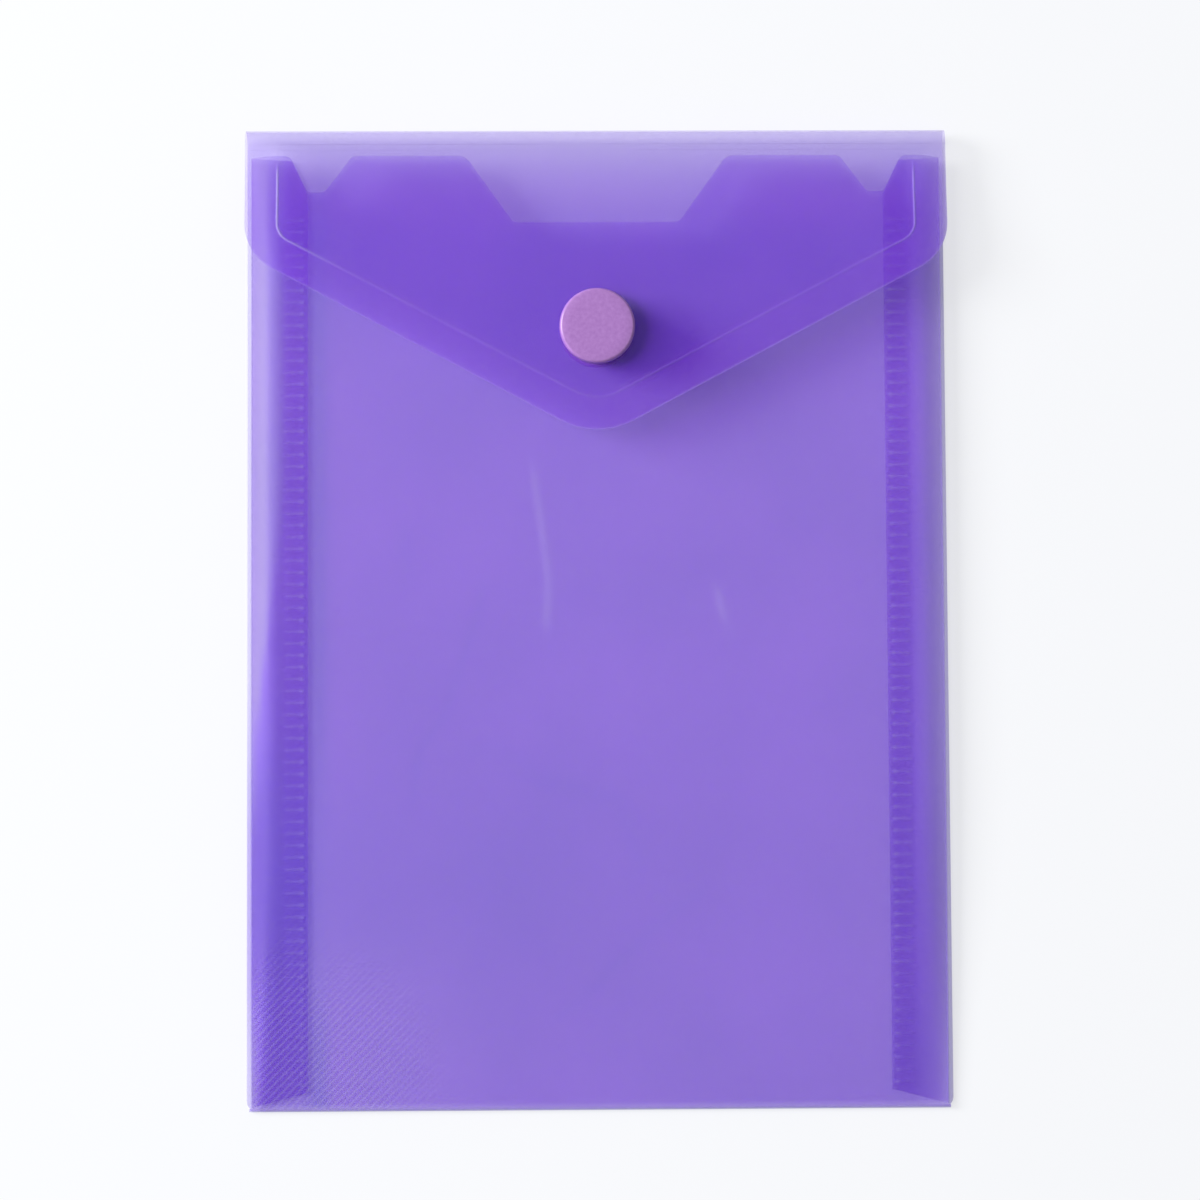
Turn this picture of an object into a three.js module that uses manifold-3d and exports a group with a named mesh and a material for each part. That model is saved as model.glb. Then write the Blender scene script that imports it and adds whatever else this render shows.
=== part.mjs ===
// A press-snap envelope wallet for A6 papers, in millimetres.
// It lies closed on its back panel: X is its width, +Y points to the fold that the flap turns on, +Z is up.
// The origin is the middle of its footprint, on the surface that it lies on.
import * as THREE from 'three';
import { mergeVertices } from 'three/addons/utils/BufferGeometryUtils.js';
import Module from 'manifold-3d';

const wasm = await Module();
wasm.setup();

// Film blank
const filmThickness = 0.2;
const walletWidth = 112.5;
const walletHeight = 157;
const cornerRadius = 1.75;

// Pocket
const sideMargin = 0.75; // how far the back panel's cut edge stands outside the side crease
const bottomFoldGap = 0.7; // clear space just above the bottom fold
const pocketDepth = 4.3; // clear space between the back and the risen front
const creaseDepth = 2.1; // height of the side crease above the back panel, where the front has risen
const riseLength = 60; // how far above the bottom fold the front has reached its full height
const shoulderWidth = 4.2; // width of the curved strip between the side crease and the flat of the front
const creaseClearance = 0.05;

// Gusset tabs and their welds
const tabWidth = 9;
const weldThickness = 0.1;
const weldOuterInset = 5.2; // from the side crease to the outer ends of the rungs
const rungLength = 3.2;
const rungWidth = 0.95;
const rungPitch = 1.9;
const railWidth = 0.5;
const weldStartBelowFold = 12;
const weldEndAboveFold = 3.7;
const tabEndInner = 3;
const tabEndOuter = 0.65;

// Mouth of the pocket, measured down from the top fold
const mouthDrop = 4.4;
const thumbDrop = 15.2;
const thumbHalfTop = 21;
const thumbHalfBottom = 13.3;
const thumbTopRadius = 2;
const thumbBottomRadius = 1;
const notchDrop = 10.3;
const notchInset = 6.4; // from the side crease to the notch
const notchWidth = 10;
const notchLean = 2.8; // how far in from the notch's outer end its bottom begins
const notchBottomWidth = 2.7;
const notchRadius = 1.3;

// Flap, measured down from the top fold
const flapCornerDrop = 20.7;
const flapTipDrop = 50.7;
const flapCornerRadius = 8.6;
const flapTipRadius = 12.4;
const flapMouthGap = 0.3; // between the front's edge and the root of the flap
const beadInset = 5.2;
const beadWidth = 0.6;
const beadHeight = 0.15;
const beadStartDrop = 5.2;

// Press snap
const snapDrop = 32.6;
const capRadius = 6;
const capHeight = 2;
const innerCapHeight = 1.4;
const capRimRadius = 0.9;
const pinRadius = 1;
const pinHoleRadius = 1.15;
const rivetRadius = 1.35;
const rivetHeight = 0.35;
const flangeRadius = 5.2;
const studFlangeHeight = 0.7;
const studHeadRadius = 2.3;
const studNeckRadius = 2.1;
const studBoreRadius = 1.5;
const studHeadHeight = 1.3;
const socketFlangeHeight = 0.6;
const socketRingRadius = 3.8;
const socketBoreRadius = 2.8;
const socketRingHeight = 1.5;
const snapGap = 0.3; // between the socket's ring and the stud's flange
const flangeBevel = 0.2;

// Fineness of the curves
const arcSegments = 4;
const riseSteps = 12;
const shoulderSteps = 5;
const flapSteps = 16;
const foldSteps = 8;
const turnedSegments = 40;

// Places worked out from the sizes above
const halfWidth = walletWidth / 2;
const topY = walletHeight / 2;
const bottomY = -walletHeight / 2;
const mouthY = topY - mouthDrop;
const snapY = topY - snapDrop;
const backTop = filmThickness;
const tabBottom = backTop + weldThickness;
const creaseX = halfWidth - sideMargin;
const shoulderX = creaseX - shoulderWidth;
const weldOuterX = creaseX - weldOuterInset;
const weldInnerX = weldOuterX - rungLength;
const tabInnerX = creaseX - tabWidth;
const notchOuterX = creaseX - notchInset;
const bottomFoldRadius = (bottomFoldGap + 2 * filmThickness) / 2;
const frontStartY = bottomY + bottomFoldRadius;
const frontTop = backTop + pocketDepth + filmThickness;
const topFoldRadius = (frontTop + flapMouthGap + filmThickness) / 2;
const backEndY = topY - topFoldRadius;
const flapRootBottom = 2 * topFoldRadius - filmThickness;
const snapStack = studFlangeHeight + snapGap + socketRingHeight + socketFlangeHeight;
const flapLevelBottom = frontTop + snapStack;
const flapLevelY = snapY + capRadius;
const aboveEverything = flapLevelBottom + capHeight + beadHeight + filmThickness;

const film = { color: 0x8f78d8, roughness: 0.5, metalness: 0, transparent: true, opacity: 0.6 };
const backFilm = new THREE.MeshStandardMaterial(film);
const frontFilm = new THREE.MeshStandardMaterial({ ...film, color: 0x8a70d6 });
const flapFilm = new THREE.MeshStandardMaterial({ ...film, color: 0x8468d2 });
const weldedFilm = new THREE.MeshStandardMaterial({ ...film, color: 0xb8a8ea, opacity: 0.8 });
const snapPlastic = new THREE.MeshStandardMaterial({ color: 0xb080c8, roughness: 0.35, metalness: 0 });

// Solids for joining and cutting

function toSolid(geometry) {
  const bare = geometry.clone();
  bare.deleteAttribute('normal');
  bare.deleteAttribute('uv');
  const merged = mergeVertices(bare, 1e-4);
  return new wasm.Manifold(new wasm.Mesh({
    numProp: 3,
    vertProperties: new Float32Array(merged.attributes.position.array),
    triVerts: new Uint32Array(merged.index.array),
  }));
}

function toGeometry(solid) {
  const mesh = solid.getMesh();
  const geometry = new THREE.BufferGeometry();
  geometry.setAttribute('position', new THREE.BufferAttribute(new Float32Array(mesh.vertProperties), 3));
  geometry.setIndex(new THREE.BufferAttribute(new Uint32Array(mesh.triVerts), 1));
  geometry.computeVertexNormals();
  return geometry;
}

function piece(name, geometry, material) {
  const mesh = new THREE.Mesh(geometry, material);
  mesh.name = name;
  return mesh;
}

// Outlines

// A closed outline through [x, y, radius] corners, each rounded by its own radius.
function roundedOutline(corners) {
  const shape = new THREE.Shape();
  corners.forEach(([x, y, radius], i) => {
    const corner = new THREE.Vector2(x, y);
    if (!radius) {
      if (i === 0) shape.moveTo(x, y);
      else shape.lineTo(x, y);
      return;
    }
    const [beforeX, beforeY] = corners.at(i - 1);
    const [afterX, afterY] = corners[(i + 1) % corners.length];
    const back = new THREE.Vector2(beforeX, beforeY).sub(corner).normalize();
    const on = new THREE.Vector2(afterX, afterY).sub(corner).normalize();
    const half = Math.acos(back.dot(on)) / 2;
    const start = back.clone().multiplyScalar(radius / Math.tan(half)).add(corner);
    const end = on.clone().multiplyScalar(radius / Math.tan(half)).add(corner);
    const centre = back.clone().add(on).normalize().multiplyScalar(radius / Math.sin(half)).add(corner);
    const from = start.clone().sub(centre).angle();
    const to = end.clone().sub(centre).angle();
    const clockwise = back.cross(on) > 0;
    if (i === 0) shape.moveTo(start.x, start.y);
    else shape.lineTo(start.x, start.y);
    shape.absarc(centre.x, centre.y, radius, from, to, clockwise);
  });
  shape.closePath();
  return shape;
}

function mirrored(corners) {
  return corners.map(([x, y, radius]) => [-x, y, radius]).reverse();
}

function upright(shape, low, high) {
  const options = { depth: high - low, bevelEnabled: false, curveSegments: arcSegments };
  return new THREE.ExtrudeGeometry(shape, options).translate(0, 0, low);
}

function cookieCutter(corners) {
  return toSolid(upright(roundedOutline(corners), -filmThickness, aboveEverything));
}

// An outline drawn in Y and Z, carried along X from one side of the wallet to the other.
function acrossWidth(shape, half) {
  const options = { depth: 2 * half, bevelEnabled: false };
  const turn = new THREE.Matrix4().makeBasis(
    new THREE.Vector3(0, 1, 0),
    new THREE.Vector3(0, 0, 1),
    new THREE.Vector3(1, 0, 0),
  );
  return new THREE.ExtrudeGeometry(shape, options).applyMatrix4(turn).translate(-half, 0, 0);
}

// Film

// A sheet over a grid of X and Y stations. Its underside is at underside(x, y) and it is thickness thick.
function filmSheet(xs, ys, underside, thickness) {
  const positions = [];
  for (const lift of [0, thickness]) {
    for (const y of ys) for (const x of xs) positions.push(x, y, underside(x, y) + lift);
  }
  const columns = xs.length;
  const layer = columns * ys.length;
  const at = (i, j, top) => top * layer + j * columns + i;
  const index = [];
  const quad = (a, b, c, d) => index.push(a, b, c, a, c, d);
  for (let j = 0; j + 1 < ys.length; j += 1) {
    for (let i = 0; i + 1 < columns; i += 1) {
      quad(at(i, j, 1), at(i + 1, j, 1), at(i + 1, j + 1, 1), at(i, j + 1, 1));
      quad(at(i, j, 0), at(i, j + 1, 0), at(i + 1, j + 1, 0), at(i + 1, j, 0));
    }
    quad(at(0, j, 0), at(0, j, 1), at(0, j + 1, 1), at(0, j + 1, 0));
    quad(at(columns - 1, j, 0), at(columns - 1, j + 1, 0), at(columns - 1, j + 1, 1), at(columns - 1, j, 1));
  }
  const last = ys.length - 1;
  for (let i = 0; i + 1 < columns; i += 1) {
    quad(at(i, 0, 0), at(i + 1, 0, 0), at(i + 1, 0, 1), at(i, 0, 1));
    quad(at(i, last, 0), at(i, last, 1), at(i + 1, last, 1), at(i + 1, last, 0));
  }
  const geometry = new THREE.BufferGeometry();
  geometry.setAttribute('position', new THREE.Float32BufferAttribute(positions, 3));
  geometry.setIndex(index);
  return toSolid(geometry);
}

function evenSteps(from, to, count) {
  return Array.from({ length: count + 1 }, (_, i) => from + ((to - from) * i) / count);
}

// How far the front has risen at y: nothing at the bottom fold, all of it at riseLength, easing to level.
function rise(y) {
  const share = THREE.MathUtils.clamp((y - frontStartY) / riseLength, 0, 1);
  return Math.sin((share * Math.PI) / 2);
}

function creaseHeight(y) {
  return backTop + bottomFoldGap + (creaseDepth - bottomFoldGap) * rise(y);
}

function frontBottom(y) {
  return backTop + bottomFoldGap + (pocketDepth - bottomFoldGap) * rise(y);
}

// The front's curved shoulder climbs from the side crease and is level where the flat of the front begins.
function shoulderBottom(x, y) {
  const inward = THREE.MathUtils.clamp((creaseX - Math.abs(x)) / shoulderWidth, 0, 1);
  const climb = 1 - (1 - inward) ** 2;
  const low = creaseHeight(y) + creaseClearance;
  return low + (frontBottom(y) - low) * climb;
}

// The tab lies flat on its weld, then slopes up to the side crease.
function tabUnderside(x, y) {
  const outward = THREE.MathUtils.clamp((Math.abs(x) - weldOuterX) / weldOuterInset, 0, 1);
  return tabBottom + (creaseHeight(y) - filmThickness - tabBottom) * outward;
}

// The flap climbs from the top fold in an S and is level from the snap to its tip.
function flapUnderside(x, y) {
  const share = THREE.MathUtils.clamp((backEndY - y) / (backEndY - flapLevelY), 0, 1);
  return flapRootBottom + ((flapLevelBottom - flapRootBottom) * (1 - Math.cos(share * Math.PI))) / 2;
}

const frontStations = [...evenSteps(frontStartY, frontStartY + riseLength, riseSteps), mouthY];
const flapStations = [topY - flapTipDrop, ...evenSteps(flapLevelY, backEndY, flapSteps)];

// A stretch of a round fold about X, from angle start to angle end, with its centre at (y, radius).
function foldShape(y, radius, start, end) {
  const at = (r) => (angle) => new THREE.Vector2(y + r * Math.cos(angle), radius + r * Math.sin(angle));
  const outside = evenSteps(start, end, foldSteps).map(at(radius));
  const inside = evenSteps(end, start, foldSteps).map(at(radius - filmThickness));
  return new THREE.Shape([...outside, ...inside]);
}

function footprint(fromY, toY, bottomRadius) {
  return [
    [-halfWidth, fromY, bottomRadius],
    [halfWidth, fromY, bottomRadius],
    [halfWidth, toY, 0],
    [-halfWidth, toY, 0],
  ];
}

function backPanel() {
  const sheet = filmSheet([-halfWidth, halfWidth], [frontStartY, backEndY], () => 0, filmThickness);
  return toGeometry(sheet.intersect(cookieCutter(footprint(bottomY, topY, cornerRadius))));
}

function bottomFold() {
  const shape = foldShape(frontStartY, bottomFoldRadius, Math.PI / 2, (3 * Math.PI) / 2);
  const tube = toSolid(acrossWidth(shape, halfWidth));
  return toGeometry(tube.intersect(cookieCutter(footprint(bottomY, topY, cornerRadius))));
}

function topFold() {
  return acrossWidth(foldShape(backEndY, topFoldRadius, -Math.PI / 2, 0), halfWidth);
}

function flapRootFold() {
  return acrossWidth(foldShape(backEndY, topFoldRadius, 0, Math.PI / 2), halfWidth);
}

function pinHole() {
  const hole = new THREE.CylinderGeometry(pinHoleRadius, pinHoleRadius, 2 * aboveEverything, turnedSegments);
  return toSolid(hole.rotateX(Math.PI / 2).translate(0, snapY, 0));
}

function frontPanel() {
  const rightEdge = [
    [shoulderX, mouthY, 0],
    [notchOuterX, mouthY, notchRadius],
    [notchOuterX - notchLean, topY - notchDrop, notchRadius],
    [notchOuterX - notchLean - notchBottomWidth, topY - notchDrop, notchRadius],
    [notchOuterX - notchWidth, mouthY, notchRadius],
    [thumbHalfTop, mouthY, thumbTopRadius],
    [thumbHalfBottom, topY - thumbDrop, thumbBottomRadius],
  ];
  const outline = [
    [-shoulderX, frontStartY, 0],
    [shoulderX, frontStartY, 0],
    ...rightEdge,
    ...mirrored(rightEdge),
  ];
  const sheet = filmSheet([-shoulderX, shoulderX], frontStations, (x, y) => frontBottom(y), filmThickness);
  return toGeometry(sheet.intersect(cookieCutter(outline)).subtract(pinHole()));
}

function onSide(side, values) {
  return values.map((value) => side * value).sort((a, b) => a - b);
}

function sideFold(side) {
  const xs = onSide(side, evenSteps(shoulderX, creaseX, shoulderSteps));
  return toGeometry(filmSheet(xs, frontStations, shoulderBottom, filmThickness));
}

// Its top inner corner is cut off in line with the slant of the notch.
function gussetTab(side) {
  const slant = (notchDrop - mouthDrop) / notchLean;
  const right = [
    [tabInnerX, bottomY + tabEndInner, 0],
    [creaseX, bottomY + tabEndOuter, 0],
    [creaseX, mouthY, 0],
    [notchOuterX, mouthY, 0],
    [tabInnerX, mouthY - (notchOuterX - tabInnerX) * slant, 0],
  ];
  const outline = side > 0 ? right : mirrored(right);
  const xs = onSide(side, [tabInnerX, weldOuterX, creaseX]);
  return toGeometry(filmSheet(xs, frontStations, tabUnderside, filmThickness).intersect(cookieCutter(outline)));
}

// A rail along the rungs' inner ends carries the rungs.
function weldSeam(side) {
  const low = bottomY + weldEndAboveFold;
  const high = topY - weldStartBelowFold;
  const count = Math.floor((high - low - rungWidth) / rungPitch) + 1;
  const railX = weldInnerX + railWidth;
  const rungs = Array.from({ length: count }, (_, i) => low + i * rungPitch).flatMap((start) => [
    [railX, start],
    [weldOuterX, start],
    [weldOuterX, start + rungWidth],
    [railX, start + rungWidth],
  ]);
  const [, ...teeth] = rungs;
  const outline = [[weldInnerX, low], ...teeth, [weldInnerX, teeth.at(-1)[1]]];
  return upright(new THREE.Shape(outline.map(([x, y]) => new THREE.Vector2(side * x, y))), backTop, tabBottom);
}

// The flap's sides, slanted edges and tip, moved in by inset. Its top corners are at height top.
function flapCorners(inset, top) {
  const slope = (flapTipDrop - flapCornerDrop) / halfWidth;
  const shift = inset * Math.hypot(1, slope);
  const sideX = halfWidth - inset;
  const cornerY = topY - flapCornerDrop - inset * slope + shift;
  return [
    [-sideX, top, 0],
    [-sideX, cornerY, flapCornerRadius - inset],
    [0, topY - flapTipDrop + shift, flapTipRadius - inset],
    [sideX, cornerY, flapCornerRadius - inset],
    [sideX, top, 0],
  ];
}

function flap() {
  const overhang = halfWidth + filmThickness;
  const xs = [-overhang, overhang];
  const beadTop = topY - beadStartDrop;
  const sheet = filmSheet(xs, flapStations, flapUnderside, filmThickness);
  const raised = filmSheet(xs, flapStations, flapUnderside, filmThickness + beadHeight);
  const outer = cookieCutter(flapCorners(beadInset - beadWidth / 2, beadTop));
  const inner = cookieCutter(flapCorners(beadInset + beadWidth / 2, beadTop + beadWidth));
  const bead = raised.intersect(outer.subtract(inner));
  const body = sheet.intersect(cookieCutter(flapCorners(0, backEndY)));
  return toGeometry(body.add(bead).subtract(pinHole()));
}

// Snap pieces, turned about their own upright axis

function turned(profile) {
  const points = profile.map(([r, z]) => new THREE.Vector2(r, z));
  return new THREE.LatheGeometry(points, turnedSegments).rotateX(Math.PI / 2);
}

// A cap above z = 0 with a rounded rim, and under it a pin that goes down to pinEnd, where its rivet head is.
function capProfile(height, pinEnd) {
  const rim = evenSteps(0, Math.PI / 2, arcSegments).map((angle) => [
    capRadius - capRimRadius + capRimRadius * Math.cos(angle),
    height - capRimRadius + capRimRadius * Math.sin(angle),
  ]);
  return [
    [0, -pinEnd - rivetHeight],
    [rivetRadius, -pinEnd - rivetHeight],
    [rivetRadius, -pinEnd],
    [pinRadius, -pinEnd],
    [pinRadius, 0],
    [capRadius - flangeBevel, 0],
    [capRadius, flangeBevel],
    ...rim,
    [0, height],
  ];
}

function outerSnapCap() {
  return turned(capProfile(capHeight, filmThickness + socketFlangeHeight));
}

function innerSnapCap() {
  return turned(capProfile(innerCapHeight, filmThickness + studFlangeHeight)).rotateX(Math.PI);
}

function snapSocket() {
  const ringBottom = -socketFlangeHeight - socketRingHeight;
  const profile = [
    [pinHoleRadius, -socketFlangeHeight],
    [socketBoreRadius, -socketFlangeHeight],
    [socketBoreRadius, ringBottom],
    [socketRingRadius, ringBottom],
    [socketRingRadius, -socketFlangeHeight],
    [flangeRadius - flangeBevel, -socketFlangeHeight],
    [flangeRadius, flangeBevel - socketFlangeHeight],
    [flangeRadius, 0],
    [pinHoleRadius, 0],
    [pinHoleRadius, -socketFlangeHeight],
  ];
  return turned(profile);
}

function snapStud() {
  const headTop = studFlangeHeight + studHeadHeight;
  const profile = [
    [pinHoleRadius, 0],
    [flangeRadius, 0],
    [flangeRadius, studFlangeHeight - flangeBevel],
    [flangeRadius - flangeBevel, studFlangeHeight],
    [studNeckRadius, studFlangeHeight],
    [studHeadRadius, studFlangeHeight + studHeadHeight / 2],
    [studHeadRadius, headTop - flangeBevel],
    [studHeadRadius - flangeBevel, headTop],
    [studBoreRadius, headTop],
    [studBoreRadius, studFlangeHeight],
    [pinHoleRadius, studFlangeHeight],
    [pinHoleRadius, 0],
  ];
  return turned(profile);
}

function placed(mesh, z) {
  mesh.position.set(0, snapY, z);
  return mesh;
}

// The three bodies: the pocket's back, its front, and the flap

const pocketBack = new THREE.Group();
pocketBack.add(
  piece('back_panel', backPanel(), backFilm),
  piece('bottom_fold', bottomFold(), backFilm),
  piece('top_fold', topFold(), backFilm),
  piece('left_gusset_tab', gussetTab(-1), backFilm),
  piece('right_gusset_tab', gussetTab(1), backFilm),
  piece('left_weld_seam', weldSeam(-1), weldedFilm),
  piece('right_weld_seam', weldSeam(1), weldedFilm),
);

const pocketFront = new THREE.Group();
pocketFront.add(
  piece('front_panel', frontPanel(), frontFilm),
  piece('left_side_fold', sideFold(-1), frontFilm),
  piece('right_side_fold', sideFold(1), frontFilm),
  placed(piece('snap_stud', snapStud(), snapPlastic), frontTop),
  placed(piece('inner_snap_cap', innerSnapCap(), snapPlastic), frontTop - filmThickness),
);

const flapGroup = new THREE.Group();
flapGroup.add(
  piece('flap_root_fold', flapRootFold(), flapFilm),
  piece('flap', flap(), flapFilm),
  placed(piece('snap_socket', snapSocket(), snapPlastic), flapLevelBottom),
  placed(piece('outer_snap_cap', outerSnapCap(), snapPlastic), flapLevelBottom + filmThickness),
);

const wallet = new THREE.Group();
wallet.add(pocketBack, pocketFront, flapGroup);

export default wallet;
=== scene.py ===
"""A closed press-snap envelope wallet of translucent violet polypropylene film, on a white table.

Lengths are in millimetres up to the moment that a mesh is made, and the meshes are in metres.
X is the wallet's width, +Y points to the fold that the flap turns on, and +Z is up from the table.
"""

import math

import bpy
import numpy as np
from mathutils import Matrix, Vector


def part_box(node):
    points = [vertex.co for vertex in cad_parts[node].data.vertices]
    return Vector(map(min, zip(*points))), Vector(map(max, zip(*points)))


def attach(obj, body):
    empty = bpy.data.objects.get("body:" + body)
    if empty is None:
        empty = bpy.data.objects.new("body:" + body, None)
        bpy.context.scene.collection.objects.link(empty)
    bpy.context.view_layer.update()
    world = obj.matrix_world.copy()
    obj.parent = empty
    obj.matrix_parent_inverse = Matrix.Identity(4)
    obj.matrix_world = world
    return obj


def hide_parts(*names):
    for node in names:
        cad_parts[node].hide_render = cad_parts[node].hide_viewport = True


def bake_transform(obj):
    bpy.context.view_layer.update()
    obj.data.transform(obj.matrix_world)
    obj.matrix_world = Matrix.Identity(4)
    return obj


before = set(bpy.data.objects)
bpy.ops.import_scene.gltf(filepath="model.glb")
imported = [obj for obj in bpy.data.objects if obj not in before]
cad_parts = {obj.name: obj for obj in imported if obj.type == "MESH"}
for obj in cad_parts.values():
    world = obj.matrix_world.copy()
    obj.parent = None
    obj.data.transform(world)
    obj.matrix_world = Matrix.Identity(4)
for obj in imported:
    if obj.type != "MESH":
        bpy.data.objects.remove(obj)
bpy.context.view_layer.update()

METRE = 1000.0


def span(node):
    """Lowest and highest corner of a CAD node, in millimetres."""
    low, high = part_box(node)
    return np.array(low) * METRE, np.array(high) * METRE


# Sizes read from the frame
BACK_LOW, BACK_HIGH = span("back_panel")
FRONT_LOW, FRONT_HIGH = span("front_panel")
FOLD_LOW, FOLD_HIGH = span("right_side_fold")
TAB_LOW, TAB_HIGH = span("right_gusset_tab")
WELD_LOW, WELD_HIGH = span("right_weld_seam")
BOTTOM_LOW, BOTTOM_HIGH = span("bottom_fold")
CAP_LOW, CAP_HIGH = span("outer_snap_cap")
SOCKET_LOW, SOCKET_HIGH = span("snap_socket")
STUD_LOW, STUD_HIGH = span("snap_stud")
ROOT_HIGH = span("flap_root_fold")[1]
INNER_CAP_LOW = span("inner_snap_cap")[0]

FILM = BACK_HIGH[2] - BACK_LOW[2]
HALF_WIDTH = BACK_HIGH[0]
TOP_Y = ROOT_HIGH[1]
BOTTOM_Y = BOTTOM_LOW[1]
CREASE_X = FOLD_HIGH[0]
SHOULDER_X = FOLD_LOW[0]
FRONT_START_Y = FRONT_LOW[1]
FRONT_TOP = FRONT_HIGH[2]
MOUTH_Y = FRONT_HIGH[1]
BOTTOM_RADIUS = BOTTOM_HIGH[2] / 2
TOP_FOLD_Y = BACK_HIGH[1]
TOP_RADIUS = TOP_Y - TOP_FOLD_Y
WELD_INNER_X, WELD_OUTER_X = WELD_LOW[0], WELD_HIGH[0]
TAB_INNER_X = TAB_LOW[0]
SNAP_Y = (CAP_LOW[1] + CAP_HIGH[1]) / 2

# Sizes that the frame's boxes don't give: the pocket
CORNER_RADIUS = 1.75
CREASE_BOTTOM, CREASE_TOP = 0.9, TAB_HIGH[2]
RISE_LENGTH = 60.0
CURL_RADIUS, CURL_LIFT = 0.125, 0.05
CURL_X = CREASE_X - CURL_RADIUS - FILM / 2
THUMB_DROP = 15.2
THUMB_HALF_TOP, THUMB_HALF_BOTTOM = 21.0, 13.3
THUMB_TOP_RADIUS, THUMB_BOTTOM_RADIUS = 2.0, 1.0
NOTCH_DROP, NOTCH_RADIUS = 10.3, 1.3
NOTCH_OUTER, NOTCH_INNER = 49.1, 39.1
NOTCH_BOTTOM_OUTER, NOTCH_BOTTOM_INNER = 46.3, 43.6
TAB_END_INNER, TAB_END_OUTER = 3.0, 0.65
RUNG_PITCH, RUNG_WIDTH = 1.9, 0.45
FIRST_RUNG_Y = WELD_LOW[1] + RUNG_PITCH / 4

# The flap and its bead
FLAP_CORNER_DROP, FLAP_TIP_DROP = 20.7, 50.7
FLAP_CORNER_RADIUS, FLAP_TIP_RADIUS = 8.6, 12.4
BEAD_INSET, BEAD_WIDTH, BEAD_HEIGHT, BEAD_START_DROP = 5.2, 0.4, 0.15, 5.2

# The snap: the radius of its pins, of their holes, and the webs that the pins pass through
PIN_RADIUS, PIN_HOLE = 1.0, 1.15
SOCKET_WEB, STUD_WEB = 0.6, 0.7
SNAP_SEGMENTS = 96
AXIS = 1e-3  # the radius at which a turned profile meets its axis

# Where the front's left side lies slack: from none to full at its upper and at its lower end, as heights y,
# and how wide the shoulder spreads there
SLACK_UPPER, SLACK_LOWER = (-8, -40), (-72, -56)
SLACK_WIDTH = 28.0


# Meshes

def mesh_object(name, vertices, faces, smooth_angle=40.0, attributes=None):
    """A mesh object from vertex positions in millimetres and an array of four-cornered faces."""
    mesh = bpy.data.meshes.new(name)
    mesh.vertices.add(len(vertices))
    mesh.vertices.foreach_set("co", (np.asarray(vertices) / METRE).astype(np.float32).ravel())
    faces = np.asarray(faces, dtype=np.int32)
    mesh.loops.add(faces.size)
    mesh.loops.foreach_set("vertex_index", faces.ravel())
    mesh.polygons.add(len(faces))
    mesh.polygons.foreach_set("loop_start", np.arange(len(faces), dtype=np.int32) * 4)
    mesh.polygons.foreach_set("use_smooth", np.ones(len(faces), dtype=bool))
    mesh.update(calc_edges=True)
    mesh.validate()
    mesh.set_sharp_from_angle(angle=math.radians(smooth_angle))
    for label, values in (attributes or {}).items():
        mesh.attributes.new(label, "FLOAT", "POINT").data.foreach_set("value", values.astype(np.float32))
    piece = bpy.data.objects.new(name, mesh)
    bpy.context.scene.collection.objects.link(piece)
    return piece


def faces_between(corner, flip=False):
    """Four-cornered faces between neighbours in a grid of corner numbers."""
    loop = [corner[:-1, :-1], corner[:-1, 1:], corner[1:, 1:], corner[1:, :-1]]
    if flip:
        loop.reverse()
    return np.stack([side.ravel() for side in loop], axis=1)


def film_piece(name, middle, **attributes):
    """A closed piece of film: the surface middle[row, column] moved half the film's thickness to each side
    along its normal, with a rim of one face all round. Columns run to the right of rows, seen from the face.
    A corner where rows and columns set off in one direction faces straight up. Each attribute is a grid like
    middle."""
    rows, columns = middle.shape[:2]
    along_row = np.gradient(middle, axis=0)
    along_column = np.gradient(middle, axis=1)
    normal = np.cross(along_column, along_row)
    length = np.linalg.norm(normal, axis=2, keepdims=True)
    shortest = 1e-6
    normal = np.where(length > shortest, normal / np.maximum(length, shortest), (0, 0, 1))
    upper = (middle + normal * FILM / 2).reshape(-1, 3)
    lower = (middle - normal * FILM / 2).reshape(-1, 3)
    count = rows * columns
    corner = np.arange(count).reshape(rows, columns)
    edge = np.concatenate([corner[0, :-1], corner[:-1, -1], corner[-1, :0:-1], corner[:0:-1, 0]])
    following = np.roll(edge, -1)
    rim = np.stack([edge, edge + count, following + count, following], axis=1)
    faces = np.concatenate([faces_between(corner), faces_between(corner + count, flip=True), rim])
    both = {label: np.tile(np.clip(values, 0, 1).ravel(), 2) for label, values in attributes.items()}
    return mesh_object(name, np.concatenate([upper, lower]), faces, attributes=both)


def turned_piece(name, profile, height):
    """A round piece of the snap: a closed profile of (radius, height) points, raised by height and turned
    about the snap's upright axis."""
    profile = np.array(profile)
    angle = np.arange(SNAP_SEGMENTS) * 2 * math.pi / SNAP_SEGMENTS
    ring = np.stack([np.cos(angle), np.sin(angle)], axis=1)
    flat = profile[:, None, 0:1] * ring[None] + np.array([0.0, SNAP_Y])
    up = np.broadcast_to(profile[:, None, 1:2] + height, flat.shape[:2] + (1,))
    vertices = np.concatenate([flat, up], axis=2).reshape(-1, 3)
    corner = np.arange(len(vertices)).reshape(len(profile), SNAP_SEGMENTS)
    corner = np.concatenate([corner, corner[:, :1]], axis=1)
    corner = np.concatenate([corner, corner[:1]], axis=0)
    return mesh_object(name, vertices, faces_between(corner), smooth_angle=35.0)


# Curves

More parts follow.
